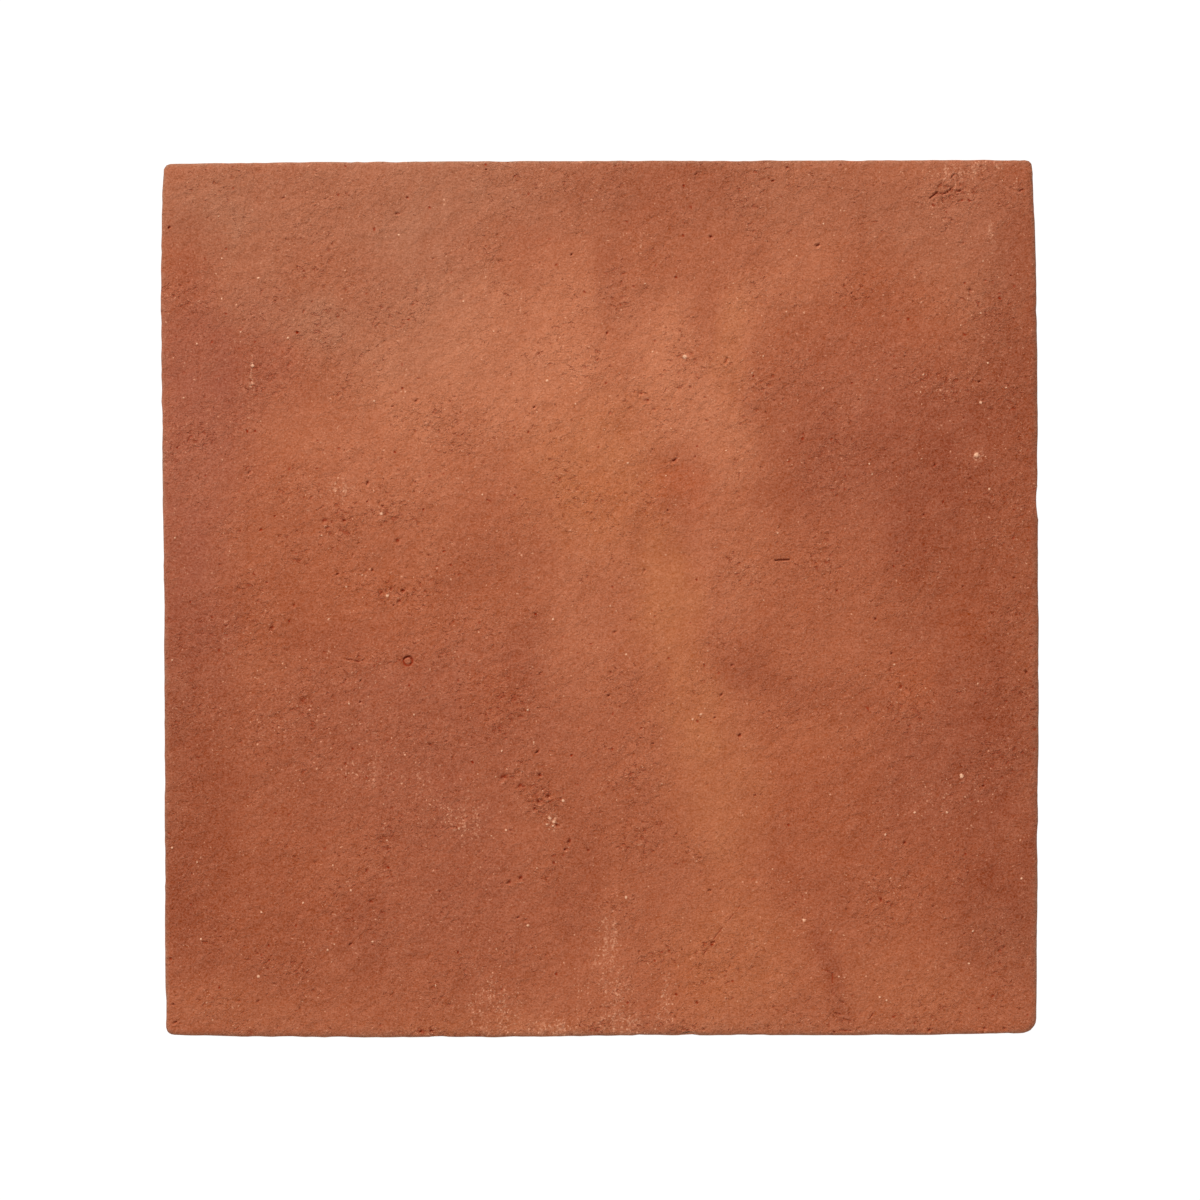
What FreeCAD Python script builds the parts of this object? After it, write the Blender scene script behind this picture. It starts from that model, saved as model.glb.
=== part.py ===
"""Hand-moulded terracotta floor tile, fired as one piece.

Frame: millimetres, +Z up. The tile lies on its back with its walking face up. The origin is under the
middle of the tile, on the plane that the back rests on. +X is the right side and +Y the far side.
"""

import FreeCAD, Part
import Sketcher
import os

# Overall sizes. The back is smaller than the face all round, because the sides were cut with a lean.
BODY_SIZES = {
    "tile_width": 300.0,
    "tile_depth": 300.0,
    "tile_thickness": 20.0,
    "back_inset": 1.0,
    "face_arris_radius": 1.2,
    "back_arris_radius": 0.8,
}

# Roundings of the corners seen from above, each worn a little differently
CORNER_RADII = {
    "near_left_radius": 2.8,
    "near_right_radius": 5.0,
    "far_right_radius": 2.5,
    "far_left_radius": 2.5,
}

# Each side is one smooth curve, steered at its two corners and at four stations between them. A station
# is a share of the side's length, counted from its middle.
STATION_SHARES = {
    "outer_station": 0.38,
    "inner_station": 0.13,
}

# How far each side stands in from the overall size at those places: no side of a handmade tile is straight
SET_INS = {
    "near_left_corner": 0.85,
    "near_left_outer": 0.05,
    "near_left_inner": -0.25,
    "near_right_inner": 1.2,
    "near_right_outer": 0.5,
    "near_right_corner": 1.6,
    "right_near_corner": 0.8,
    "right_near_outer": 0.5,
    "right_near_inner": -0.3,
    "right_far_inner": 0.4,
    "right_far_outer": 0.4,
    "right_far_corner": 2.2,
    "far_right_corner": -0.05,
    "far_right_outer": 0.2,
    "far_right_inner": 0.25,
    "far_left_inner": 0.55,
    "far_left_outer": 0.75,
    "far_left_corner": 1.5,
    "left_far_corner": 0.9,
    "left_far_outer": -0.55,
    "left_far_inner": 0.7,
    "left_near_inner": 1.5,
    "left_near_outer": 1.2,
    "left_near_corner": 1.85,
}

# Chips knocked out of the face's edge: the place along the side from its middle, then the scoop's size
CHIP_SIZES = {
    "near_left_chip_place": -54.5,
    "near_left_chip_half_length": 3.6,
    "near_left_chip_bite": 0.9,
    "near_left_chip_drop": 4.0,
    "near_right_chip_place": 31.0,
    "near_right_chip_half_length": 3.4,
    "near_right_chip_bite": 1.0,
    "near_right_chip_drop": 3.5,
    "right_far_chip_place": 33.5,
    "right_far_chip_half_length": 5.5,
    "right_far_chip_bite": 0.7,
    "right_far_chip_drop": 5.0,
}

# The sides in order round the tile, each with the ends that it runs from and to
SIDE_ENDS = {
    "near": ("left", "right"),
    "right": ("near", "far"),
    "far": ("right", "left"),
    "left": ("far", "near"),
}
SIGN = {"near": "-", "far": "", "left": "-", "right": ""}

# How a sketch counts its own origin and the start, end and centre of its curves
ORIGIN = (-1, 1)
START_INDEX, END_INDEX, CENTRE_INDEX = 1, 2, 3
CURVE_DEGREE = 3
POLE_WEIGHT = 1.0
UPWARDS = FreeCAD.Vector(0, 0, 1)
LEVEL_TOLERANCE = 1e-4

doc = FreeCAD.newDocument("terracotta_floor_tile")


def fill_sheet():
    """The sheet of driving sizes: one row for each, with the name in column A and the size in column B."""
    sheet = doc.addObject("Spreadsheet::Sheet", "Sizes")
    rows = {**BODY_SIZES, **CORNER_RADII, **STATION_SHARES, **SET_INS, **CHIP_SIZES}
    for number, (name, size) in enumerate(rows.items(), start=1):
        sheet.set(f"A{number}", name)
        sheet.set(f"B{number}", str(size))
        sheet.setAlias(f"B{number}", name)
    doc.recompute()
    return sheet


def lies_along_x(side):
    return side in ("near", "far")


def side_line(side, end, station, inset):
    """How far out a side stands at one of its stations, as a signed expression."""
    overall = "Sizes.tile_depth" if lies_along_x(side) else "Sizes.tile_width"
    return f"{SIGN[side]}({overall} / 2 - Sizes.{side}_{end}_{station} - {inset})"


def steering_point(side, end, station, inset):
    """One of the points that steer a side, as expressions for x and y."""
    across = side_line(side, end, station, inset)
    run = "Sizes.tile_width" if lies_along_x(side) else "Sizes.tile_depth"
    along = f"{SIGN[end]}{run} * Sizes.{station}_station"
    if station == "corner":
        along = side_line(end, side, station, inset)
    return (along, across) if lies_along_x(side) else (across, along)


def draw_side(sketch, side, inset):
    """One side's curve, with its steering points tied to the sheet. The next side holds its last point."""
    first, last = SIDE_ENDS[side]
    stations = [(first, "corner"), (first, "outer"), (first, "inner"),
                (last, "inner"), (last, "outer"), (last, "corner")]
    points = [steering_point(side, end, station, inset) for end, station in stations]
    poles = [FreeCAD.Vector(sizes.evalExpression(x), sizes.evalExpression(y), 0) for x, y in points]
    spans = len(poles) - CURVE_DEGREE
    knots = list(range(spans + 1))
    repeats = [CURVE_DEGREE + 1] + [1] * (spans - 1) + [CURVE_DEGREE + 1]
    curve = Part.BSplineCurve()
    curve.buildFromPolesMultsKnots(poles, repeats, knots, False, CURVE_DEGREE)
    curve_number = sketch.addGeometry(curve, False)
    first_pole = None
    for number, (pole, expressions) in enumerate(zip(poles, points)):
        pole_circle = sketch.addGeometry(Part.Circle(pole, UPWARDS, POLE_WEIGHT), True)
        sketch.addConstraint(Sketcher.Constraint(
            "InternalAlignment:Sketcher::BSplineControlPoint", pole_circle, CENTRE_INDEX, curve_number, number))
        if first_pole is None:
            first_pole = pole_circle
            sketch.addConstraint(Sketcher.Constraint("Weight", pole_circle, POLE_WEIGHT))
        else:
            sketch.addConstraint(Sketcher.Constraint("Equal", first_pole, pole_circle))
        if number == len(poles) - 1:
            break
        for kind, place, expression in zip(("DistanceX", "DistanceY"), pole, expressions):
            held = sketch.addConstraint(Sketcher.Constraint(kind, *ORIGIN, pole_circle, CENTRE_INDEX, place))
            name = f"{side}_{number}_{kind}"
            sketch.renameConstraint(held, name)
            sketch.setExpression(f"Constraints.{name}", expression)
    return curve_number


def draw_outline(label, level, inset):
    """A closed outline of four uneven sides that meet at sharp corners, at the given height."""
    sketch = doc.addObject("Sketcher::SketchObject", label)
    sketch.setExpression("Placement.Base.z", level)
    curves = [draw_side(sketch, side, inset) for side in SIDE_ENDS]
    for this_side, next_side in zip(curves, curves[1:] + curves[:1]):
        sketch.addConstraint(Sketcher.Constraint("Coincident", this_side, END_INDEX, next_side, START_INDEX))
    return sketch


def edges_where(feature, wanted):
    """Names of the feature's edges whose ends are all where they are wanted."""
    return [f"Edge{number}" for number, edge in enumerate(feature.Shape.Edges, start=1)
            if all(wanted(vertex.Point) for vertex in edge.Vertexes)]


def round_edges(body, base, label, wanted, radius):
    fillet = body.newObject("PartDesign::Fillet", label)
    fillet.Base = (base, edges_where(base, wanted))
    fillet.setExpression("Radius", f"Sizes.{radius}")
    doc.recompute()
    return fillet


def at_corner(far_or_near, left_or_right):
    y_way = -1 if far_or_near == "near" else 1
    x_way = -1 if left_or_right == "left" else 1
    return lambda point: point.x * x_way > 0 and point.y * y_way > 0


def at_level(height):
    return lambda point: abs(point.z - height) < LEVEL_TOLERANCE


def knock_out_chip(body, side, end):
    """A shallow scoop out of the face's edge, centred on the side where its inner station stands."""
    chip = f"{side}_{end}_chip"
    scoop = body.newObject("PartDesign::SubtractiveEllipsoid", chip)
    across, along = side_line(side, end, "inner", "0"), f"Sizes.{chip}_place"
    x, y = (along, across) if lies_along_x(side) else (across, along)
    for axis, expression in (("x", x), ("y", y), ("z", "Sizes.tile_thickness")):
        scoop.setExpression(f"Placement.Base.{axis}", expression)
    along_radius, across_radius = ("Radius2", "Radius3") if lies_along_x(side) else ("Radius3", "Radius2")
    scoop.setExpression(along_radius, f"Sizes.{chip}_half_length")
    scoop.setExpression(across_radius, f"Sizes.{chip}_bite")
    scoop.setExpression("Radius1", f"Sizes.{chip}_drop")
    doc.recompute()


def model_tile():
    """The clay slab between the back's outline and the face's, then its rounded edges and its chips."""
    slab = doc.addObject("Part::Loft", "slab")
    slab.Sections = [draw_outline("back_outline", "0", "Sizes.back_inset"),
                     draw_outline("face_outline", "Sizes.tile_thickness", "0")]
    slab.Solid = True
    slab.Ruled = True
    body = doc.addObject("PartDesign::Body", "tile")
    body.BaseFeature = slab
    doc.recompute()
    rounded = body.Tip
    for corner in CORNER_RADII:
        far_or_near, left_or_right, _ = corner.split("_")
        rounded = round_edges(body, rounded, corner.replace("radius", "corner"),
                              at_corner(far_or_near, left_or_right), corner)
    rounded = round_edges(body, rounded, "face_arris", at_level(sizes.tile_thickness), "face_arris_radius")
    round_edges(body, rounded, "back_arris", at_level(0), "back_arris_radius")
    knock_out_chip(body, "near", "left")
    knock_out_chip(body, "near", "right")
    knock_out_chip(body, "right", "far")
    return body


def check_document():
    """Stops if any object failed, which a recompute alone doesn't report."""
    failed = [thing.Name for thing in doc.Objects if {"Invalid", "Error"} & set(thing.State)]
    if failed:
        raise RuntimeError(f"these objects failed: {failed}")


def write_piece(piece):
    shape = piece.Shape
    if shape.isNull() or not shape.isValid() or len(shape.Solids) != 1:
        raise RuntimeError(f"{piece.Label} isn't one valid solid")
    os.makedirs("parts", exist_ok=True)
    shape.exportStep(f"parts/{piece.Label}.step")
    box = shape.optimalBoundingBox()
    print(f"{piece.Label}: {box.XLength:.2f} x {box.YLength:.2f} x {box.ZLength:.2f} mm, "
          f"centre {box.Center.x:.2f}, {box.Center.y:.2f}, {shape.Volume / 1000:.1f} cm3")


sizes = fill_sheet()
tile = model_tile()
check_document()
write_piece(tile)
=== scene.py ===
"""Hand-moulded terracotta floor tile, lying on its back and seen from straight above."""

import bmesh
import bpy
import math
import random
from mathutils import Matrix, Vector, kdtree, noise
from mathutils.bvhtree import BVHTree


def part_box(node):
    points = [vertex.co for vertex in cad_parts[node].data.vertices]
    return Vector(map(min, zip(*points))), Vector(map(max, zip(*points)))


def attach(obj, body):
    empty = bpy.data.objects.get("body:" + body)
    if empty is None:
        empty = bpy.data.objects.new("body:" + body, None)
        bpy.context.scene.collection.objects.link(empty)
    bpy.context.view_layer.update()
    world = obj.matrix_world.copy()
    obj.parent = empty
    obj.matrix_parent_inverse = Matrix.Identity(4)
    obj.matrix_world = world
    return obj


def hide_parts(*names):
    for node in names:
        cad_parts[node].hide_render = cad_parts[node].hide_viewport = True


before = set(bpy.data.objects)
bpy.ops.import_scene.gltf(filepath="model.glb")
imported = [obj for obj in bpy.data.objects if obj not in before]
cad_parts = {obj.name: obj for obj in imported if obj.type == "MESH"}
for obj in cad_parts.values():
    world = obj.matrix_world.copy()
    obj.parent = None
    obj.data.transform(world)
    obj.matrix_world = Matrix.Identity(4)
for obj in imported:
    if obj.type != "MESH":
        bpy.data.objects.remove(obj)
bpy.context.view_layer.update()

# Tile body: one slab of coarse red clay, pressed into a wooden frame by hand, struck off level and fired.
# The block is divided finely on its walking face and its sides, with the rows drawn together at the edges,
# and every point is laid on the solid's own skin before any relief is added. One flat face closes the back.
MM = 0.001
FACE_CELLS = 140
SIDE_ROWS = 26
FACE_CROWDING = 0.05
SIDE_CROWDING = 0.12
BACK_RINGS = (0.5 * MM, 1.4 * MM, 4.0 * MM)
LEVEL_TOLERANCE = 0.01 * MM
FACING_DOWN = -0.5

low, high = (Vector(corner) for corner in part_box("tile"))
middle = (low + high) / 2
half = (high - low) / 2
face_level, back_level = high.z, low.z

clay = bmesh.new()
bmesh.ops.create_cube(clay, size=2.0)
bmesh.ops.scale(clay, vec=half, verts=clay.verts)
bmesh.ops.translate(clay, vec=middle, verts=clay.verts)
back_faces = [face for face in clay.faces if face.normal.z < FACING_DOWN]
bmesh.ops.delete(clay, geom=back_faces, context="FACES_ONLY")


def climb(edge):
    return abs(edge.verts[0].co.z - edge.verts[1].co.z)


standing_edges = [edge for edge in clay.edges if climb(edge) > half.z]
bmesh.ops.subdivide_edges(clay, edges=standing_edges, cuts=SIDE_ROWS - 1)
level_edges = [edge for edge in clay.edges if climb(edge) < LEVEL_TOLERANCE]
bmesh.ops.subdivide_edges(clay, edges=level_edges, cuts=FACE_CELLS - 1, use_grid_fill=True)


def crowd(place, centre, reach, crowding):
    """Moves a row towards the end of its run, the nearer to the end the more, and leaves the end itself."""
    share = (place - centre) / reach
    gap = 1 - abs(share)
    gap = gap * gap / (gap + crowding) * (1 + crowding)
    return centre + reach * math.copysign(1 - gap, share)


for vert in clay.verts:
    vert.co.x = crowd(vert.co.x, middle.x, half.x, FACE_CROWDING)
    vert.co.y = crowd(vert.co.y, middle.y, half.y, FACE_CROWDING)
    vert.co.z = crowd(vert.co.z, middle.z, half.z, SIDE_CROWDING)

rim = [edge for edge in clay.edges if edge.is_boundary]
ring_inset = 0.0
for wanted_inset in BACK_RINGS:
    grown = bmesh.ops.extrude_edge_only(clay, edges=rim)["geom"]
    rim = [item for item in grown if isinstance(item, bmesh.types.BMEdge) and item.is_boundary]
    for vert in {vert for edge in rim for vert in edge.verts}:
        vert.co.x = middle.x + (vert.co.x - middle.x) * (half.x - wanted_inset) / (half.x - ring_inset)
        vert.co.y = middle.y + (vert.co.y - middle.y) * (half.y - wanted_inset) / (half.y - ring_inset)
    ring_inset = wanted_inset
bmesh.ops.edgeloop_fill(clay, edges=rim)
bmesh.ops.recalc_face_normals(clay, faces=clay.faces)

# Marks in the walking face, each noted from above. Places and sizes are in millimetres, from the
# tile's middle. A pin hole has its place, its width and its depth.
PIN_HOLES = [
    (-94, 26.5, 2.6, 0.5), (-91.5, 26.0, 1.6, 0.4), (-93, 24.0, 1.6, 0.3), (-87, 26.5, 2.2, 0.5),
    (-74, 31.5, 1.8, 0.5), (-69, 19.5, 2.6, 0.5), (-77.5, 9.5, 1.3, 0.6), (-75, 2.0, 2.2, 0.5),
    (-71.5, 3.0, 1.8, 0.4), (-69.5, 1.5, 1.8, 0.5), (-67, 2.5, 1.8, 0.5), (-68.5, -1.0, 2.2, 0.5),
    (-112, -10, 2.0, 0.4), (-104.5, -2.5, 1.8, 0.4), (-81.5, -28, 1.3, 0.6), (-33, -61, 3.6, 0.4),
    (-27, -64, 3.0, 0.35), (-20.5, -60.5, 2.0, 0.6), (-20.5, -69.5, 2.4, 0.6), (-17.5, -67.5, 2.6, 0.7),
    (-22.0, -72.0, 2.0, 0.5), (-14.5, -77.5, 1.8, 0.5), (-10.5, -83, 2.6, 0.6), (-4, -86, 1.8, 0.5),
    (-27, -95.5, 2.4, 0.5), (-31, -97, 2.0, 0.6), (-9.5, 117.5, 1.4, 0.5), (13.5, 70, 2.3, 0.7),
    (16, 67.5, 2.3, 0.7), (18.5, 64.5, 1.9, 0.6), (5, -11.5, 1.4, 0.5), (3.5, -25.5, 1.5, 0.5),
    (3, -33, 1.6, 0.5), (41.5, -33, 1.6, 0.5), (18, -49.5, 1.6, 0.5), (82.5, 103, 1.8, 0.5),
    (131.5, 108.5, 1.5, 0.4), (110.5, 28.5, 1.5, 0.5), (81, 2.5, 1.4, 0.4), (94, -7, 1.6, 0.5),
    (101.5, 16, 1.4, 0.4), (145.5, -25, 1.5, 0.5), (141.5, 7, 1.4, 0.4), (131, -64, 1.6, 0.5),
    (104, -83.5, 1.7, 0.5), (96, -103.5, 1.6, 0.5), (98.5, -104, 1.4, 0.4), (86.5, -109, 1.5, 0.5),
    (100, -109.5, 1.5, 0.4), (138, -119, 1.5, 0.4), (-78, -103.5, 2.0, 0.5), (-97, -90, 1.5, 0.4),
    (-116.5, -137.5, 1.8, 0.5), (-123, -137.5, 1.6, 0.5), (-145.5, -138.5, 1.6, 0.5),
    (-54.5, -100, 1.6, 0.5), (-55, 63, 1.8, 0.5), (64, 147, 1.8, 0.6), (-61, -148, 1.5, 0.4),
    (-57.5, -147.6, 1.8, 0.5), (30, -147.4, 1.8, 0.4), (35.5, -147, 1.5, 0.4), (80, -148, 1.5, 0.4),
    (112.5, -147.5, 1.8, 0.5), (131.5, -146.8, 1.8, 0.5), (138, -146.8, 1.3, 0.4),
]

# Grains of lime and grog that stand out pale: place and width
PALE_GRAINS = [
    (-116.5, 109.5, 1.1), (-129, 102.5, 1.0), (-106.5, 89, 1.1), (-118.5, 79.5, 1.8), (-77, 67.5, 1.1),
    (-142, 68.5, 1.0), (-46.5, 101.5, 1.0), (15.5, 107.5, 0.9), (-18, 74.5, 1.3), (29, 82.5, 2.2),
    (52, 77, 1.0), (109.5, 70.5, 1.0), (110.5, 76.5, 1.0), (130, 67, 1.5), (132.5, 80.5, 1.2),
    (130, 97.5, 1.0), (128.5, 49, 2.4), (133, 37.5, 1.2), (92, 46, 1.0), (93, 42.5, 1.0),
    (-92.5, -7, 1.0), (-86.5, 4, 1.0), (-99, -38, 1.0), (-146, -21, 0.9), (-16, -7, 1.1), (9, -19, 1.0),
    (34.5, -39.5, 1.2), (-24.5, -38, 1.2), (-22.5, -49, 1.0), (-33.5, -52, 1.1), (-12.5, -69, 1.5),
    (100.5, -22.5, 1.3), (123.5, -60.5, 2.0), (107.5, -73, 1.2), (118.5, -73, 1.2), (97.5, -80.5, 1.2),
    (144, -95.5, 1.1), (127.5, -113.5, 1.1), (126, -124.5, 1.1), (95.5, -136, 1.1), (9, -102, 1.5),
    (-24.5, -111.5, 1.4), (-32, -79, 1.1), (-146, -85, 1.0), (-137.5, -90, 1.0), (-115.5, -107, 1.0),
    (-85, -99.5, 1.1), (-77.5, -117, 1.1), (-48, -78.5, 1.1), (-56, -132, 1.0), (-116.5, -129, 1.4),
    (-74.5, 29.0, 1.6), (-17, -75, 1.6), (-15.6, -76.2, 1.4), (-18, -77, 1.0), (-16, -77.6, 1.1),
    (-72.5, 1.0, 1.6),
]

# Scores and drags: both ends, the width, the depth and how ragged it is, from 0 for a wire's clean cut to
# over 1 for a torn drag. Where a stone was pressed in and lifted out again, its rim is left as a ring.
SCORES = [
    (59.9, 13.0, 64.6, 13.2, 1.2, 0.7, 0.0), (-87, -20.6, -81.5, -21.6, 1.2, 0.35, 1.0),
    (-81, -21.6, -72.5, -21.6, 0.8, 0.2, 1.0), (109.4, 137.6, 112.6, 138.5, 0.9, 0.3, 1.2),
    (112, 136.7, 115.2, 137.8, 1.6, 0.5, 1.3), (115.6, 137.9, 118.6, 138.6, 1.7, 0.55, 1.3),
    (118.8, 138.8, 121.2, 140.8, 1.5, 0.5, 1.3), (122.3, 139.2, 123.6, 139.8, 1.5, 0.5, 1.2),
    (112.2, 139.9, 113.4, 140.4, 1.0, 0.3, 1.2), (115.5, 140.2, 118, 141.4, 0.9, 0.25, 1.2),
    (107.8, 135, 110.2, 134.6, 1.2, 0.35, 1.3), (110.9, 134.2, 114.6, 133.5, 1.2, 0.35, 1.3),
    (116.2, 135.6, 119.4, 136.4, 0.9, 0.25, 1.3), (120.2, 136.9, 122.4, 138, 0.9, 0.25, 1.3),
    (123.2, 135.9, 125.4, 135.6, 0.9, 0.25, 1.3), (126.2, 135.2, 128.8, 134.6, 1.0, 0.3, 1.3),
    (119.6, 129.7, 121.4, 128.5, 1.6, 0.5, 1.3), (118.6, 132, 119.6, 131.4, 0.9, 0.25, 1.2),
    (128, 130.6, 129.4, 128.5, 1.1, 0.35, 1.2), (135.9, 134.8, 136.7, 134.6, 1.0, 0.3, 1.0),
    (30.5, -127.5, 40, -115.0, 0.7, 0.2, 0.7), (40, -115, 49, -103.5, 0.7, 0.2, 0.7),
    (76.3, -126.5, 79.4, -127.9, 0.8, 0.25, 0.6), (79.4, -127.9, 79.1, -131.3, 0.8, 0.25, 0.6),
    (79.2, -133, 80.2, -135, 0.8, 0.2, 0.8), (82, -137, 83.5, -138, 1.0, 0.3, 0.8),
    (81, -141.5, 82.2, -142.2, 1.0, 0.3, 0.6), (78.3, -144.3, 78.2, -146.6, 0.8, 0.3, 0.5),
    (92.2, -143.3, 93.4, -141.7, 1.0, 0.3, 0.5), (82.2, -147.6, 85.5, -147.4, 1.0, 0.3, 0.8),
]
RING_DENT = {"x": -65.5, "y": -21.3, "across": 3.0, "width": 1.3, "depth": 0.85}

# Beyond those, pin holes and grains lie all over, thicker in some stretches than in others. A hole is drawn
# out a little along the way that the face was struck off. Most of the scattered ones are small.
SCATTER_SEED = 17
SCATTERED_HOLES = 130
SCATTERED_GRAINS = 80
SCATTER_HALF = 147
DRY_STRETCH = 45.0
DRYNESS_DRAW = (-0.6, 0.4)
STRIKE_TURN = 35
NOTED_STRETCH, NOTED_TURN_SPREAD = (1.0, 1.4), 40
SCATTERED_STRETCH, SCATTERED_TURN_SPREAD = (1.0, 2.4), 35
LEAST_HOLE, HOLE_RANGE, SMALLNESS = 0.8, 1.0, 3
HOLE_DEPTH_SHARE = 0.35
GRAIN_WIDTHS = (0.5, 1.0)

scatter = random.Random(SCATTER_SEED)
holes = [(*hole, scatter.uniform(*NOTED_STRETCH), scatter.gauss(STRIKE_TURN, NOTED_TURN_SPREAD))
         for hole in PIN_HOLES]
grains = list(PALE_GRAINS)


def scattered_place():
    """A random place on the face, likelier where a stretch of the clay was dry."""
    while True:
        x = scatter.uniform(-SCATTER_HALF, SCATTER_HALF)
        y = scatter.uniform(-SCATTER_HALF, SCATTER_HALF)
        if noise.noise(Vector((x, y, 0)) / DRY_STRETCH) > scatter.uniform(*DRYNESS_DRAW):
            return x, y


for number in range(SCATTERED_HOLES):
    across = LEAST_HOLE + HOLE_RANGE * scatter.random() ** SMALLNESS
    place = scattered_place()
    stretch = scatter.uniform(*SCATTERED_STRETCH)
    turn = scatter.gauss(STRIKE_TURN, SCATTERED_TURN_SPREAD)
    holes.append((*place, across, HOLE_DEPTH_SHARE * across, stretch, turn))
for number in range(SCATTERED_GRAINS):
    grains.append((*scattered_place(), scatter.uniform(*GRAIN_WIDTHS)))

# The cells of the face under a mark are divided again, so that the mark has points to be worked into
REFINED_MARGIN = 0.5 * MM
REFINED_CELL_PART = 3
FINE_CUTS = 6
SCORE_STEP = 1.2

face_centres = kdtree.KDTree(len(clay.faces))
clay.faces.ensure_lookup_table()
for face in clay.faces:
    face_centres.insert(face.calc_center_median(), face.index)
face_centres.balance()
spots = [(x, y, across / 2) for x, y, across, *rest in holes + grains]
spots.append((RING_DENT["x"], RING_DENT["y"], RING_DENT["across"] / 2 + RING_DENT["width"]))
for x1, y1, x2, y2, width, depth, ragged in SCORES:
    steps = math.ceil(math.hypot(x2 - x1, y2 - y1) / SCORE_STEP)
    for step in range(steps + 1):
        spots.append((x1 + (x2 - x1) * step / steps, y1 + (y2 - y1) * step / steps, width / 2))
margin = REFINED_MARGIN + 2 * half.x / FACE_CELLS / REFINED_CELL_PART
fine_faces = set()
for x, y, reach in spots:
    place = (x * MM, y * MM, face_level)
    for centre, index, distance in face_centres.find_range(place, reach * MM + margin):
        fine_faces.add(clay.faces[index])
fine_edges = [edge for edge in clay.edges if any(face in fine_faces for face in edge.link_faces)]
bmesh.ops.subdivide_edges(clay, edges=fine_edges, cuts=FINE_CUTS, use_grid_fill=True)

# Laying every point on the solid's skin, and from there the relief: waves and ripples of the hand-struck
# face, a ragged arris, and drag lines round the sides where the frame was lifted off. The starts keep one
# noise from lying in step with another.
WAVE_SIZE, WAVE_HEIGHT, WAVE_START = 70 * MM, 0.25 * MM, 0.5
RIPPLE_SIZE, RIPPLE_HEIGHT, RIPPLE_START = 9 * MM, 0.3 * MM, Vector((2, 5, 1))
RAGGED_SIZE, RAGGED_HEIGHT, RAGGED_START = 5 * MM, 0.3 * MM, Vector((7, 1, 4))
RAGGED_BAND = 3.0 * MM
DRAG_LENGTH, DRAG_WIDTH, DRAG_HEIGHT, DRAG_START = 26 * MM, 2.6 * MM, 0.9 * MM, 3.0
SIDE_GRIT_SIZE, SIDE_GRIT_HEIGHT = 3.0 * MM, 0.6 * MM
SWELL_SIZE, SWELL_HEIGHT = 15 * MM, 0.7 * MM
PROUD_LIMIT, HOLLOW_FULL = 0.12 * MM, 0.7 * MM
FOOT_BAND, HEAD_BAND, HEAD_SHARE = 2.5 * MM, 5.0 * MM, 0.35

skin = BVHTree.FromObject(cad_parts["tile"], bpy.context.evaluated_depsgraph_get())
for vert in clay.verts:
    vert.co = skin.find_nearest(vert.co)[0]
clay.normal_update()


def side_relief(place):
    """Height of the sides' swells, drag lines and grit, with the lines running level round the tile.

    The frame's boards pressed the sides flat, so hollows go in further than anything stands proud.
    """
    along = place.x + place.y
    drawn = noise.noise(Vector((along / DRAG_LENGTH, place.z / DRAG_WIDTH, DRAG_START)))
    height = drawn * DRAG_HEIGHT + noise.noise(place / SIDE_GRIT_SIZE) * SIDE_GRIT_HEIGHT
    height = min(PROUD_LIMIT, height + noise.noise(place / SWELL_SIZE) * SWELL_HEIGHT)
    below_face = min(1.0, (face_level - place.z) / HEAD_BAND)
    above_back = min(1.0, (place.z - back_level) / FOOT_BAND)
    return height * (HEAD_SHARE + (1 - HEAD_SHARE) * below_face) * above_back


moves = {}
hollow_layer = clay.verts.layers.float.new("hollow")
for vert in clay.verts:
    place = vert.co.copy()
    edge_gap = min(half.x - abs(place.x - middle.x), half.y - abs(place.y - middle.y))
    below_face = face_level - place.z
    near_edge = max(0.0, 1 - edge_gap / RAGGED_BAND) * max(0.0, 1 - below_face / RAGGED_BAND)
    waves = noise.noise(Vector((place.x / WAVE_SIZE, place.y / WAVE_SIZE, WAVE_START))) * WAVE_HEIGHT
    waves += noise.noise(place / RIPPLE_SIZE + RIPPLE_START) * RIPPLE_HEIGHT
    pressed = side_relief(place) * (1 - abs(vert.normal.z))
    height = waves * max(0.0, vert.normal.z) + pressed
    height += noise.noise(place / RAGGED_SIZE + RAGGED_START) * RAGGED_HEIGHT * near_edge
    # How hollow the flank is; the material darkens it there as painted shade
    vert[hollow_layer] = min(1.0, max(0.0, -pressed / HOLLOW_FULL))
    moves[vert] = vert.normal * height
for vert, move in moves.items():
    vert.co += move
    vert.co.z = max(vert.co.z, back_level)

# Working the marks in. A mark is a hollow with a ragged edge and crumbs left in it, and a lip of pushed
# clay on its near side. The hollow's colour is darkened towards its far side as painted shade, and the lip
# is paled as a painted highlight. A grain is a low round rise. The seed settles how the scores wander here
# and how the patches' edges drift below, so that every run is the same.
FACING_UP = 0.3
WANDER_SEED = 14
RAGGED_MARK_SIZE, RAGGED_MARK = 1.1 * MM, 0.7
WANDER_SIZE, WANDER = 4.0 * MM, 0.7 * MM
CRUMB_SIZE, CRUMBS = 0.9 * MM, 1.1
LIP_PLACE, LIP_REACH, LIP_SHARE, LIP_HIGHLIGHT = 1.0, 0.45, 0.35, 0.3
GRAIN_TAPER, GRAIN_RISE = 0.8, 0.15
RING_EVEN, RING_LEAN, RING_RAGGED = 0.65, 0.35, 0.5

noise.seed_set(WANDER_SEED)
pit_shade_layer = clay.verts.layers.float.new("pit_shade")
grain_and_highlight_layer = clay.verts.layers.float.new("pale_grain_and_highlight")
clay.verts.ensure_lookup_table()
face_verts = [vert for vert in clay.verts if vert.normal.z > FACING_UP]
vert_places = kdtree.KDTree(len(face_verts))
for number, vert in enumerate(face_verts):
    vert_places.insert((vert.co.x, vert.co.y, 0), number)
vert_places.balance()


def points_near(x, y, reach):
    """The face's points round a place, each with its own place as seen from above."""
    for place, number, distance in vert_places.find_range((x * MM, y * MM, 0), reach * MM):
        yield face_verts[number], place


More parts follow.
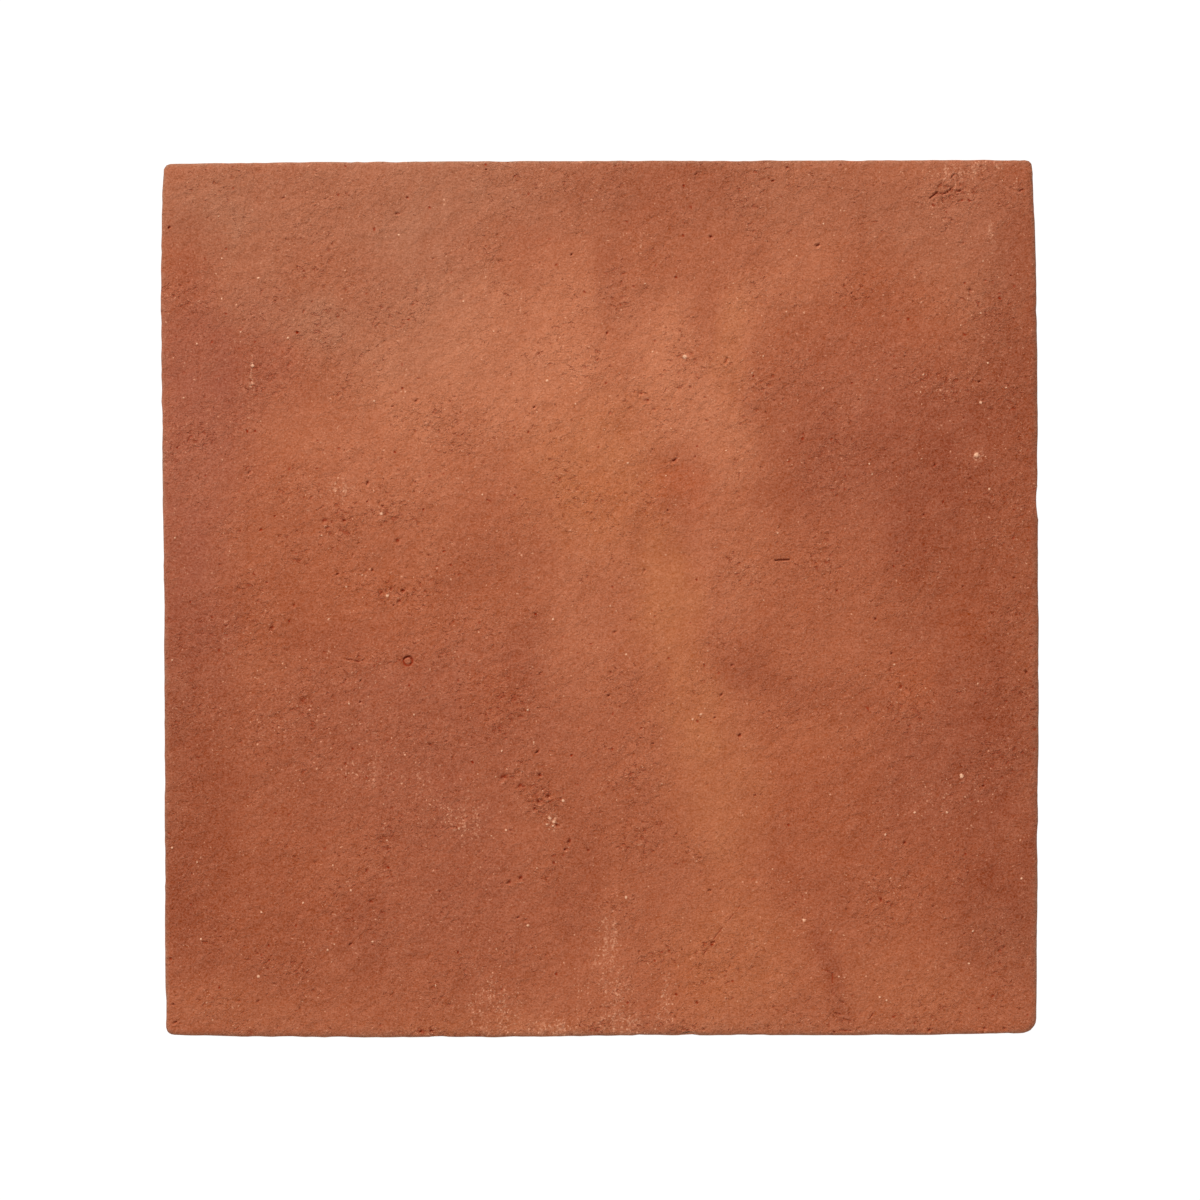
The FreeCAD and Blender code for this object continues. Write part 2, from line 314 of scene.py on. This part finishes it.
def bell(distance):
    """Falls smoothly from 1 at no distance, or less, to 0 at a distance of 1."""
    left = min(1.0, max(0.0, 1 - distance))
    return left * left * (3 - 2 * left)


def work(vert, distance, near_side, depth, ragged=1.0):
    """Works a mark into a point. The distance is from the mark's middle, with its edge at 1.

    The hollow's colour is darkened towards its far side as painted shade, where the light doesn't reach,
    and the lip on its near side is paled as a painted highlight.
    """
    seen_place = Vector((vert.co.x, vert.co.y, 0))
    distance *= 1 + ragged * RAGGED_MARK * noise.noise(seen_place / RAGGED_MARK_SIZE)
    crumbs = 1 + ragged * CRUMBS * noise.noise(vert.co / CRUMB_SIZE)
    share = bell(distance) * crumbs
    lip = bell(abs(distance - LIP_PLACE) / LIP_REACH) * near_side * crumbs
    vert.co.z += (lip * LIP_SHARE - share) * depth * MM
    # Painted shade in the hollow, none on its near side, and a painted highlight on the lip
    vert[pit_shade_layer] = max(vert[pit_shade_layer], share * (1 - near_side))
    vert[grain_and_highlight_layer] = max(vert[grain_and_highlight_layer], lip * LIP_HIGHLIGHT)


def nearness(offset):
    """How squarely a point lies on the near side of a mark, from 0 to 1."""
    return max(0.0, -offset.normalized().y)


def sink_hole(x, y, across, depth, stretch, turn):
    centre = Vector((x * MM, y * MM, 0))
    radius = across / 2 * MM
    drag = Vector((math.cos(math.radians(turn)), math.sin(math.radians(turn)), 0))
    for vert, place in points_near(x, y, across * stretch):
        offset = place - centre
        along = offset.dot(drag)
        distance = math.hypot(along / stretch, (offset - drag * along).length) / radius
        work(vert, distance, nearness(offset), depth)


def raise_grain(x, y, across):
    centre = Vector((x * MM, y * MM, 0))
    radius = across / 2 * MM
    for vert, place in points_near(x, y, across):
        share = bell(GRAIN_TAPER * (place - centre).length / radius)
        vert.co.z += share * GRAIN_RISE * across * MM
        vert[grain_and_highlight_layer] = max(vert[grain_and_highlight_layer], share)


def cut_score(x1, y1, x2, y2, width, depth, ragged):
    start, end = Vector((x1 * MM, y1 * MM, 0)), Vector((x2 * MM, y2 * MM, 0))
    run = end - start
    reach = math.hypot(x2 - x1, y2 - y1) / 2 + width
    for vert, place in points_near((x1 + x2) / 2, (y1 + y2) / 2, reach):
        wandered = place + noise.noise_vector(place / WANDER_SIZE) * WANDER * ragged
        share_along = min(1.0, max(0.0, (wandered - start).dot(run) / run.length_squared))
        off_line = wandered - start - run * share_along
        work(vert, off_line.length / (width / 2 * MM), nearness(off_line), depth, ragged)


def dent_ring(x, y, across, width, depth):
    """The rim is deepest on its far side."""
    centre = Vector((x * MM, y * MM, 0))
    for vert, place in points_near(x, y, across):
        offset = place - centre
        off_ring = abs(offset.length - across / 2 * MM)
        rim_share = RING_EVEN + RING_LEAN * offset.normalized().y
        work(vert, off_ring / (width / 2 * MM), 0.0, depth * rim_share, RING_RAGGED)


for hole in holes:
    sink_hole(*hole)
for grain in grains:
    raise_grain(*grain)
for score in SCORES:
    cut_score(*score)
dent_ring(**RING_DENT)

# Firing patches on the walking face: the place, the half width, the half height and the turn of each,
# in millimetres and degrees, then how strongly it shows. Each list is one hue that the kiln gave, but the
# last two are where salt has bloomed and where the face is torn, or smooth if it is below 0.
PALE_FLAMES = [
    (-7, 97, 20, 36, 5, 0.4), (-32, 86, 34, 40, 15, 0.4), (-66, 78, 26, 40, -15, 0.25),
    (-105, 60, 22, 22, 0, 0.16), (-66, 49, 56, 32, 15, 0.3), (-54, 20, 20, 13, 30, 0.15),
    (14, -52, 10, 14, 0, 0.12), (29, 74, 46, 20, -57, 0.52), (46, 50, 20, 18, 0, 0.15),
    (48, 91, 14, 30, -5, 0.32), (27, 98, 11, 15, 0, 0.3), (21, 57, 9, 9, 0, 0.25),
    (68, 115, 26, 18, 45, 0.3), (-8, 62, 44, 32, 0, 0.26), (-4, -4, 24, 46, 0, 0.22),
    (44, 14, 20, 38, 0, 0.25), (8, -126, 13, 32, 0, 0.1), (-30, -140, 28, 14, 0, 0.08),
    (-88, -93, 18, 16, 0, 0.15), (78, -46, 18, 13, 0, 0.15), (12, 78, 16, 26, 0, 0.15),
    (0, 84, 120, 46, 0, 0.07), (-20, 22, 26, 26, 0, 0.12),
]
OCHRE_TONGUE = [
    (-2, 42, 34, 42, 0, 0.45), (22, 2, 18, 36, 5, 0.5), (30, -34, 19, 26, 15, 0.35),
    (40, -66, 26, 44, 12, 0.32), (46, -124, 34, 38, 0, 0.25), (105, -132, 34, 24, 0, 0.1),
    (-125, -142, 40, 12, 0, 0.1), (-30, -146, 48, 9, 0, 0.15), (46, 88, 8, 30, -5, 0.25),
]
EMBERS = [
    (100, 104, 36, 22, 0, 0.12), (-80, -4, 60, 26, 0, 0.15), (-112, -100, 34, 40, 0, 0.1),
    (76, -60, 36, 44, 0, 0.2), (62, -104, 36, 46, 0, 0.12), (110, -98, 32, 30, 0, 0.15),
    (-88, -96, 30, 28, 0, 0.15), (22, 114, 32, 10, 0, 0.08), (107, -30, 11, 15, 0, 0.4),
    (125, -10, 11, 15, 0, 0.4), (-2, 34, 20, 20, 0, 0.35), (-33, -33, 18, 18, 0, 0.25),
    (34, -132, 18, 16, 0, 0.25),
]
TONGUE_ARCH = [
    (26, 41, 15, 7, 10, 0.55), (20, 28, 5, 15, -17, 0.4), (35, 34, 5, 9, 18, 0.25),
]
RED_SHADES = [
    (130, 22, 50, 92, 0, 0.44), (138, -70, 46, 64, 0, 0.45), (96, -54, 26, 26, 0, 0.2),
    (98, 138, 20, 14, 0, 0.12), (-46, -141, 14, 10, 0, 0.1), (105, 38, 26, 44, 0, 0.16),
    (72, 42, 26, 30, 0, 0.25), (86, 72, 42, 44, 0, 0.15), (128, 68, 22, 24, 0, 0.12),
    (50, -22, 14, 15, 0, 0.32), (75, -33, 30, 12, -10, 0.24), (80, -128, 6, 26, 8, 0.35),
    (140, -116, 28, 36, 0, 0.24), (-150, -50, 40, 120, 0, 0.4), (-132, 80, 26, 32, 0, 0.2),
    (-46, 10, 13, 24, -25, 0.15), (-30, 14, 11, 18, 0, 0.15), (-95, -14, 28, 9, 5, 0.25),
    (-25, -22, 13, 24, 0, 0.2), (-75, -55, 90, 50, 0, 0.2), (-50, -112, 56, 46, 0, 0.2),
    (-80, -118, 12, 34, 0, 0.15), (-6, -92, 14, 34, 0, 0.25), (14, -78, 22, 38, 0, 0.06),
    (16, 26, 22, 7, 62, 0.12), (4, 108, 7, 22, 0, 0.2), (20, 140, 46, 20, 0, 0.25),
    (-112, 0, 30, 20, 0, 0.14), (78, -86, 40, 38, 0, 0.18), (-118, -110, 52, 58, 0, 0.3),
    (147, 105, 24, 64, 0, 0.4), (100, -100, 50, 44, 0, 0.05), (90, 110, 36, 30, 0, 0.08),
    (-140, 120, 16, 24, 0, 0.2),
]
ASH_BLOOM = [
    (-88, 138, 90, 30, 0, 0.5), (-66, 95, 40, 46, -15, 0.58), (-36, 88, 30, 36, 0, 0.2),
    (-25, 140, 60, 22, 0, 0.2), (70, 140, 54, 24, 0, 0.22), (-112, 106, 30, 22, 0, 0.45),
    (-134, 130, 28, 24, 0, 0.35), (-96, 95, 16, 16, 0, 0.4), (122, 126, 44, 38, 0, 0.32),
    (136, 95, 24, 38, 0, 0.2), (146, -60, 12, 110, 0, 0.1), (140, -112, 22, 20, 0, 0.25),
    (-147, -60, 10, 60, 0, 0.25), (0, 149, 160, 8, 0, 0.15), (10, 122, 110, 44, 0, 0.14),
    (0, -149, 160, 7, 0, 0.2),
]
MAUVE_SHADES = [
    (-144, 30, 32, 104, 0, 0.5), (-124, 84, 34, 38, 0, 0.36), (-60, -40, 84, 48, 0, 0.25),
    (-60, -95, 64, 46, 0, 0.2), (100, 55, 56, 56, 0, 0.25), (120, -60, 44, 60, 0, 0.2),
    (128, 134, 30, 24, 0, 0.15),
]
SALT_STREAKS = [
    (-37, -138, 13, 16, 0, 0.65), (-17, -146, 16, 9, 0, 0.8), (6, -113, 10, 14, 0, 0.65),
    (7, -132, 9, 20, 0, 0.6), (8, -145, 14, 9, 0, 0.8), (24, -138, 5, 18, 0, 0.7),
    (-6, -125, 8, 24, 0, 0.4), (-72, -62, 24, 12, 0, 0.5), (-50, -74, 18, 10, 0, 0.5),
    (128, 50, 6, 6, 0, 0.8), (-92, 37, 7, 7, 0, 0.9), (112, 73, 12, 7, 0, 0.6),
    (-17, -75, 6, 5, 0, 0.85), (122, 148, 24, 4, 0, 0.8), (-100, -40, 50, 40, 0, 0.2),
    (120, -70, 26, 20, 0, 0.3), (-6, 148.5, 4, 3, 0, 0.9), (-120, 78, 4, 6, 20, 0.9),
    (132.5, 129.5, 4, 4, 0, 0.9), (134, 147.8, 8, 2.5, 0, 0.9),
]
FLAKED_AREAS = [
    (117, 136, 17, 11, 25, 0.2), (120, 128, 14, 6, 0, 0.1), (-71, 2, 12, 7, 10, 0.7),
    (-80, -21, 14, 5, 0, 0.5), (-26, -65, 16, 10, -30, 0.7), (-18, -72, 9, 9, 0, 0.8),
    (-90, 26, 11, 8, 0, 0.7), (-72, 30, 7, 7, 0, 0.5), (120, 75, 22, 16, 0, 0.4),
    (130, 95, 18, 16, 0, 0.3), (-95, 100, 40, 26, 0, 0.4), (60, 145, 60, 6, 0, 0.5),
    (-60, 60, 34, 26, 0, 0.3), (-55, -40, 44, 34, 0, 0.4), (40, -60, 26, 40, 0, -0.4),
    (20, 0, 22, 40, 0, -0.5), (-50, 125, 36, 16, 0, -0.3), (75, -80, 40, 30, 0, -0.3),
    (-110, -40, 30, 26, 0, 0.3), (10, 75, 36, 36, 0, 0.3), (120, 145, 24, 5, 0, 0.3),
    (0, -147, 150, 3, 0, 0.5), (-57, -147.5, 9, 4, 0, 0.9), (32, -147, 8, 4, 0, 0.8),
]
PATCH_LISTS = {
    "pale_flame": PALE_FLAMES, "ochre": OCHRE_TONGUE, "ember": EMBERS, "arch": TONGUE_ARCH,
    "red_shade": RED_SHADES, "ash_bloom": ASH_BLOOM, "mauve": MAUVE_SHADES, "salt": SALT_STREAKS,
    "flaked": FLAKED_AREAS,
}
DRIFTS = ((40 * MM, 6 * MM), (11 * MM, 3 * MM), (5 * MM, 1.6 * MM))
SOFT_CORE, CRISP_CORE = 0.25, 0.5
PATCH_REACH = 1.5
RUBBED_BAND, RUBBED_SHARE = 2.8 * MM, 0.12
STAIN_START, STAIN_FULL, STAIN_BAND = 0.01, 0.2, 3.5 * MM
FLANK_BAND = 6.0 * MM
TORN_SIZE, SIDE_TORN = 16 * MM, 1.2


def turned(x, y, wide, tall, turn, strength):
    """A patch in metres, with the cosine and the sine of its turn."""
    angle = math.radians(turn)
    return x * MM, y * MM, wide * MM, tall * MM, math.cos(angle), math.sin(angle), strength


def patch_strength(patches, place, core):
    """How strongly a list's patches show at a place. Each fades from its core outwards, and they add up."""
    total = 0.0
    for x, y, wide, tall, cosine, sine, strength in patches:
        across, along = place.x - x, place.y - y
        if abs(across) + abs(along) < PATCH_REACH * (wide + tall):
            right = (across * cosine + along * sine) / wide
            up = (along * cosine - across * sine) / tall
            total += strength * bell((math.hypot(right, up) - core) / (1 - core))
    return total


turned_patches = {name: [turned(*patch) for patch in patches] for name, patches in PATCH_LISTS.items()}
patch_layers = {name: clay.verts.layers.float.new(name) for name in PATCH_LISTS}
stain_layer = clay.verts.layers.float.new("stain")
flank_layer = clay.verts.layers.float.new("flank")
for vert in clay.verts:
    edge_gap = min(half.x - abs(vert.co.x - middle.x), half.y - abs(vert.co.y - middle.y))
    rubbed = RUBBED_SHARE * max(0.0, 1 - edge_gap / RUBBED_BAND)
    tilt = max(1 - max(0.0, vert.normal.z), rubbed)
    below_face = face_level - vert.co.z
    on_face = bell(below_face / FLANK_BAND)
    stain = min(1.0, max(0.0, (tilt - STAIN_START) / (STAIN_FULL - STAIN_START)))
    vert[stain_layer] = stain * bell(below_face / STAIN_BAND)
    vert[flank_layer] = 1 - on_face
    if vert.normal.z < FACING_DOWN:
        continue
    drifted = vert.co.copy()
    for size, drift in DRIFTS:
        drifted += noise.noise_vector(vert.co / size) * drift
    for name, patches in turned_patches.items():
        total = patch_strength(patches, drifted, CRISP_CORE if name == "arch" else SOFT_CORE)
        if name in ("salt", "flaked"):
            total *= on_face
        if name == "flaked":
            total += (1 - on_face) * SIDE_TORN * max(0.0, noise.noise(vert.co / TORN_SIZE))
        vert[patch_layers[name]] = min(1.0, total)

clay.normal_update()
tile_mesh = bpy.data.meshes.new("tile_body")
clay.to_mesh(tile_mesh)
clay.free()
tile_mesh.polygons.foreach_set("use_smooth", [True] * len(tile_mesh.polygons))
tile_body = bpy.data.objects.new("tile_body", tile_mesh)
bpy.context.collection.objects.link(tile_body)

# Unglazed fired terracotta: iron-rich clay with sand in it, open-pored and dry, so it scatters light
# broadly with no polish. The kiln left soft patches from pale orange to brown-red under a sandy grain.
MID_CLAY = "A75C3E"
PATCH_CLAYS = {
    "mauve": ("A05C4A", -1), "ash_bloom": ("AA7055", 1), "pale_flame": ("C87D5A", 1),
    "ember": ("B25C38", 1), "arch": ("B15D3C", 1), "ochre": ("BE744B", 1), "red_shade": ("88422B", -1),
}
ARRIS_STAIN = "8E6E58"
FRAME_SAND = "AE7451"
# Painted shade in the hollows of the flanks
HOLLOW_SHADE = "84472F"
# Painted shade: the dark red-brown laid into pits, tears and pores
PIT_SHADE = "8C2400"
# Pale lime grains, and the painted highlight on the lips of marks
LIME_AND_HIGHLIGHT = "F4BC98"
SALT_WHITE = "E2A280"
SAND_STEP = "FFC2A6"
CLAY_IOR = 1.45
CLAY_ROUGHNESS = 0.88
CLAY_SPECULAR = 0.05

# Patterns of the clay: length and width in millimetres, turn in degrees, the noise's detail and roughness.
# The sand is finer than the view can show, so its grain is drawn as coarse as it needs to be.
PATTERNS = {
    "mottle": (11, 11, 0, 4, 0.65), "brush": (20, 7, 75, 4, 0.6), "streak": (26, 3.5, 88, 3, 0.6),
    "crowd": (22, 22, 0, 2, 0.6), "dune": (5, 4, 35, 1, 0.5), "lump": (2.8, 2.8, 0, 2, 0.5),
    "grain": (0.65, 0.65, 0, 2, 0.7), "tear": (1.7, 1.4, 0, 3, 0.6), "fleck": (0.75, 0.75, 0, 1, 0.5),
    "drip": (18, 1.8, 88, 2, 0.5),
}
JITTER_SIZE, JITTER = 1.8 * MM, 0.9 * MM


def linear(hex_colour):
    """An sRGB hex colour as linear red, green, blue and alpha."""
    parts = [int(hex_colour[i:i + 2], 16) / 255 for i in (0, 2, 4)]
    return [p / 12.92 if p <= 0.04045 else ((p + 0.055) / 1.055) ** 2.4 for p in parts] + [1.0]


terracotta = bpy.data.materials.new("unglazed_fired_terracotta")
terracotta.use_nodes = True
tree = terracotta.node_tree
tree.nodes.clear()


def add_node(kind, inputs, **settings):
    """Adds a node to the open tree. Inputs are constants, or sockets to link from."""
    node = tree.nodes.new("ShaderNode" + kind)
    for name, value in settings.items():
        setattr(node, name, value)
    for name, value in inputs.items():
        if isinstance(value, bpy.types.NodeSocket):
            tree.links.new(value, node.inputs[name])
        else:
            node.inputs[name].default_value = value
    return node


place = add_node("TexCoord", {}).outputs["Object"]
jitter = add_node("TexNoise", {"Vector": place, "Scale": 1 / JITTER_SIZE, "Detail": 0}).outputs["Color"]
shaken = add_node("VectorMath", {0: jitter, 1: [JITTER] * 3, 2: place}, operation="MULTIPLY_ADD").outputs[0]
pattern = {}
for name, (length, width, turn, detail, roughness) in PATTERNS.items():
    laid = add_node("Mapping", {
        "Vector": shaken, "Rotation": (0, 0, math.radians(turn)),
        "Scale": (length * MM, width * MM, width * MM)}, vector_type="TEXTURE")
    cloud = add_node("TexNoise", {
        "Vector": laid.outputs[0], "Scale": 1.0, "Detail": detail, "Roughness": roughness})
    pattern[name] = cloud.outputs["Fac"]

# Firing patches: each hue of the kiln, its edge broken by the mottle of the clay. Pale and red hues lie
# apart, because the same mottle widens the one and narrows the other. A little of each hue is everywhere.
MIX_FACTOR, MIX_A, MIX_B, MIX_RESULT = 0, 6, 7, 2
MOTTLE_GAIN = 0.75
EVEN_SHARE = 0.04
colour = linear(MID_CLAY)
weave = add_node("Math", {0: pattern["mottle"], 1: pattern["brush"]}, operation="ADD").outputs[0]
for name, (tint, way) in PATCH_CLAYS.items():
    gain = way * MOTTLE_GAIN
    patch = add_node("Attribute", {}, attribute_name=name).outputs["Fac"]
    share = add_node("Math", {0: patch, 1: EVEN_SHARE}, operation="ADD").outputs[0]
    broken = add_node("Math", {0: weave, 1: gain, 2: 1 - gain}, operation="MULTIPLY_ADD").outputs[0]
    shown = add_node("Math", {0: broken, 1: share}, operation="MULTIPLY", use_clamp=True).outputs[0]
    mixed = add_node("Mix", {MIX_FACTOR: shown, MIX_A: colour, MIX_B: linear(tint)}, data_type="RGBA")
    colour = mixed.outputs[MIX_RESULT]

# The handled arris is stained, and the flanks kept some of the sand that the frame was dusted with. Where
# the flanks are hollow, their colour is darkened as painted shade.
worn_and_shaded_places = (
    ("stain", "lump", ARRIS_STAIN), ("flank", "mottle", FRAME_SAND), ("hollow", "mottle", HOLLOW_SHADE),
)
for name, pattern_name, tint in worn_and_shaded_places:
    wear_and_shade = add_node("Attribute", {}, attribute_name=name).outputs["Fac"]
    share = add_node("Math", {0: wear_and_shade, 1: pattern[pattern_name]}, operation="MULTIPLY").outputs[0]
    mixed = add_node("Mix", {MIX_FACTOR: share, MIX_A: colour, MIX_B: linear(tint)}, data_type="RGBA")
    colour = mixed.outputs[MIX_RESULT]

# Dry sand over darker clay, with a slower mottle and streaks where the face was wiped. A step of sand is as
# much paler on light clay as on dark, so it greys the clay a little where it lies thick and reddens it
# where it is thin.
TONE_GAINS = {"mottle": 0.045, "streak": 0.03, "lump": 0.05, "grain": 0.36}
tone = -sum(TONE_GAINS.values()) / 2
for name, gain in TONE_GAINS.items():
    tone = add_node("Math", {0: pattern[name], 1: gain, 2: tone}, operation="MULTIPLY_ADD").outputs[0]
sanded = add_node("VectorMath", {0: tone, 1: linear(SAND_STEP)[:3], 2: colour}, operation="MULTIPLY_ADD")
colour = sanded.outputs[0]

# Tears dragged open where the face was struck off dry, with pale broken sand among them. The tears are
# darkened with painted shade.
FLAKED_GAIN, TEAR_GAIN, FLECK_GAIN = 0.28, 0.45, 0.12
TEAR_EDGE, TEAR_CORE, TEAR_SHADE = 0.86, 1.0, 0.5
FLECK_EDGE, FLECK_CORE, FLECK_MOST = 0.745, 0.9, 0.75
flaked = add_node("Attribute", {}, attribute_name="flaked").outputs["Fac"]
rough = add_node("Math", {0: flaked, 1: FLAKED_GAIN, 2: pattern["crowd"]},
                 operation="MULTIPLY_ADD").outputs[0]
torn = add_node("Math", {0: rough, 1: TEAR_GAIN, 2: pattern["tear"]}, operation="MULTIPLY_ADD").outputs[0]
tear = add_node("MapRange", {"Value": torn, "From Min": TEAR_EDGE, "From Max": TEAR_CORE}).outputs[0]
tear_painted_shade = add_node("Math", {0: tear, 1: TEAR_SHADE}, operation="MULTIPLY").outputs[0]
sandy = add_node("Math", {0: rough, 1: FLECK_GAIN, 2: pattern["fleck"]},
                 operation="MULTIPLY_ADD").outputs[0]
fleck = add_node("MapRange", {
    "Value": sandy, "From Min": FLECK_EDGE, "From Max": FLECK_CORE, "To Max": FLECK_MOST}).outputs[0]

# Pores, more of them where the face is torn, and specks of lime and salt, more where salt has bloomed. Both
# are dots in some of a pattern's cells: the cells' size in millimetres, the share of them that have a dot,
# and the dot's reach as a share of that size. Salt that was wet has also run down in a thin crust.
PORE_CELL, PORE_REACH, PORE_GAIN, PORE_START = 2.4, 0.26, 0.34, -0.084
SPECK_CELL, SPECK_REACH, SPECK_GAIN, SPECK_START = 1.2, 0.32, 0.65, 0.013
DOT_CORE = 0.4
RUN_GAIN, CRUST_GAIN = 0.8, 0.34
CRUST_EDGE, CRUST_CORE, CRUST_MOST = 1.17, 1.47, 0.6
salt = add_node("Attribute", {}, attribute_name="salt").outputs["Fac"]
pore_share = add_node("Math", {0: rough, 1: PORE_GAIN, 2: PORE_START}, operation="MULTIPLY_ADD").outputs[0]
speck_share = add_node("Math", {0: salt, 1: SPECK_GAIN, 2: SPECK_START},
                       operation="MULTIPLY_ADD").outputs[0]
dot_kinds = {"pore": (PORE_CELL, pore_share, PORE_REACH), "speck": (SPECK_CELL, speck_share, SPECK_REACH)}
dots = {}
for name, (cell, share, reach) in dot_kinds.items():
    cells = add_node("TexVoronoi", {"Vector": shaken, "Scale": 1 / (cell * MM)})
    draw = add_node("SeparateColor", {"Color": cells.outputs["Color"]})
    chosen = add_node("Math", {0: draw.outputs[0], 1: share}, operation="LESS_THAN").outputs[0]
    dot = add_node("MapRange", {
        "Value": cells.outputs["Distance"], "From Min": reach * DOT_CORE, "From Max": reach,
        "To Min": 1.0, "To Max": 0.0}).outputs[0]
    shown = add_node("Math", {0: dot, 1: chosen}, operation="MULTIPLY").outputs[0]
    dots[name] = add_node("Math", {0: shown, 1: draw.outputs[1]}, operation="MULTIPLY").outputs[0]
run_down = add_node("Math", {0: pattern["drip"], 1: RUN_GAIN, 2: pattern["fleck"]},
                    operation="MULTIPLY_ADD").outputs[0]
crusted = add_node("Math", {0: salt, 1: CRUST_GAIN, 2: run_down}, operation="MULTIPLY_ADD").outputs[0]
crust = add_node("MapRange", {
    "Value": crusted, "From Min": CRUST_EDGE, "From Max": CRUST_CORE, "To Max": CRUST_MOST}).outputs[0]

# The marks worked into the mesh: painted shade in their depth, pale on the grains and a painted highlight
# on the lips, with a broken edge
MARK_FRAY, MARK_EDGE, MARK_CORE = 0.9, 0.75, 1.2
MARK_MOST = {"pit_shade": 0.76, "pale_grain_and_highlight": 0.85}
marked = {}
for name, most in MARK_MOST.items():
    share = add_node("Attribute", {}, attribute_name=name).outputs["Fac"]
    frayed = add_node("Math", {0: pattern["grain"], 1: MARK_FRAY, 2: share},
                      operation="MULTIPLY_ADD").outputs[0]
    marked[name] = add_node("MapRange", {
        "Value": frayed, "From Min": MARK_EDGE, "From Max": MARK_CORE, "To Max": most}).outputs[0]

# Painted shade: the dark red-brown in tears, pores and pits. Painted highlight: the pale on marks' lips.
spotted = (
    (crust, SALT_WHITE), (fleck, SALT_WHITE), (dots["speck"], SALT_WHITE), (tear_painted_shade, PIT_SHADE),
    (dots["pore"], PIT_SHADE), (marked["pit_shade"], PIT_SHADE), (marked["pale_grain_and_highlight"], LIME_AND_HIGHLIGHT),
)
for share, tint in spotted:
    mixed = add_node("Mix", {MIX_FACTOR: share, MIX_A: colour, MIX_B: linear(tint)}, data_type="RGBA")
    colour = mixed.outputs[MIX_RESULT]

# Fine relief in millimetres: grit and low dunes, higher where the face is torn, then crumbs, lumps, tears
# and pores
GRIT_HEIGHT, DUNE_HEIGHT = 0.6, 1.0
CRUMB_HEIGHT, LUMP_HEIGHT = 0.2, 0.28
TEAR_DEPTH, PORE_DEPTH = 0.22, 0.2
grit = add_node("Math", {0: pattern["grain"], 1: rough}, operation="MULTIPLY").outputs[0]
dune = add_node("Math", {0: pattern["dune"], 1: rough}, operation="MULTIPLY").outputs[0]
fine_relief = (
    (grit, GRIT_HEIGHT), (pattern["tear"], -CRUMB_HEIGHT), (pattern["lump"], LUMP_HEIGHT),
    (dune, DUNE_HEIGHT), (tear, -TEAR_DEPTH), (dots["pore"], -PORE_DEPTH),
)
height = 0.0
for share, rise in fine_relief:
    height = add_node("Math", {0: share, 1: rise, 2: height}, operation="MULTIPLY_ADD").outputs[0]
bump = add_node("Bump", {"Strength": 1.0, "Distance": MM, "Height": height})
shader = add_node("BsdfPrincipled", {
    "Base Color": colour, "Roughness": CLAY_ROUGHNESS, "IOR": CLAY_IOR, "Specular IOR Level": CLAY_SPECULAR,
    "Normal": bump.outputs[0]})
add_node("OutputMaterial", {"Surface": shader.outputs[0]})
tile_mesh.materials.append(terracotta)

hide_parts("tile")
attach(tile_body, "root")

# Studio: the tile lies on a white light table with raised ends, so hardly any shadow shows. A soft key from
# the far left rakes the face, and a weak lamp from the near side and an even surround fill the shade.
FLOOR_HALF = 4.0
FLOOR_ENDS = 0.9
FLOOR_GREY = "404040"
FLOOR_ROUGHNESS = 0.9
FLOOR_GLOW = 0.99
LAMP_WHITE = "FFFFFF"
SURROUND_STRENGTH = 0.3
LAMPS = {
    "key": (Vector((-2.0, 3.78, 2.8)), 1.1, 300),
    "fill": (Vector((2.0, -3.78, 2.8)), 2.2, 68),
}

table = bmesh.new()
bmesh.ops.create_grid(table, x_segments=1, y_segments=1, size=FLOOR_HALF)
raised = bmesh.ops.extrude_edge_only(table, edges=list(table.edges))["geom"]
raised_verts = [item for item in raised if isinstance(item, bmesh.types.BMVert)]
bmesh.ops.translate(table, vec=(0, 0, FLOOR_ENDS), verts=raised_verts)
floor_mesh = bpy.data.meshes.new("floor")
table.to_mesh(floor_mesh)
table.free()
floor = bpy.data.objects.new("floor", floor_mesh)
bpy.context.collection.objects.link(floor)

# Opal glass lit from below: an even white with no gloss
opal_glass = bpy.data.materials.new("opal_glass_light_table")
opal_glass.use_nodes = True
tree = opal_glass.node_tree
tree.nodes.clear()
shader = add_node("BsdfPrincipled", {
    "Base Color": linear(FLOOR_GREY), "Roughness": FLOOR_ROUGHNESS,
    "Emission Color": linear(LAMP_WHITE), "Emission Strength": FLOOR_GLOW})
add_node("OutputMaterial", {"Surface": shader.outputs[0]})
floor_mesh.materials.append(opal_glass)

for name, (lamp_place, lamp_size, power) in LAMPS.items():
    lamp_data = bpy.data.lights.new(name, "AREA")
    lamp_data.shape = "SQUARE"
    lamp_data.size = lamp_size
    lamp_data.energy = power
    lamp = bpy.data.objects.new(name, lamp_data)
    lamp.location = lamp_place
    lamp.rotation_euler = (middle - lamp_place).to_track_quat("-Z", "Y").to_euler()
    bpy.context.collection.objects.link(lamp)

surround = bpy.data.worlds.new("surround")
surround.use_nodes = True
background = surround.node_tree.nodes["Background"]
background.inputs["Color"].default_value = linear(LAMP_WHITE)
background.inputs["Strength"].default_value = SURROUND_STRENGTH
bpy.context.scene.world = surround
bpy.context.scene.view_settings.view_transform = "Standard"

# Camera: straight above on a long lens, with the photo's margin round the tile. The shift puts the tile's
# middle where the photo has it.
LENS, SENSOR = 100.0, 36.0
VIEW_WIDTH = 409.6 * MM
VIEW_SHIFT = Vector((0.09 * MM, -0.51 * MM, 0))
camera_data = bpy.data.cameras.new("camera")
camera_data.lens = LENS
camera_data.sensor_width = SENSOR
camera = bpy.data.objects.new("camera", camera_data)
camera.location = Vector((middle.x, middle.y, face_level + VIEW_WIDTH * LENS / SENSOR)) + VIEW_SHIFT
bpy.context.collection.objects.link(camera)
bpy.context.scene.camera = camera
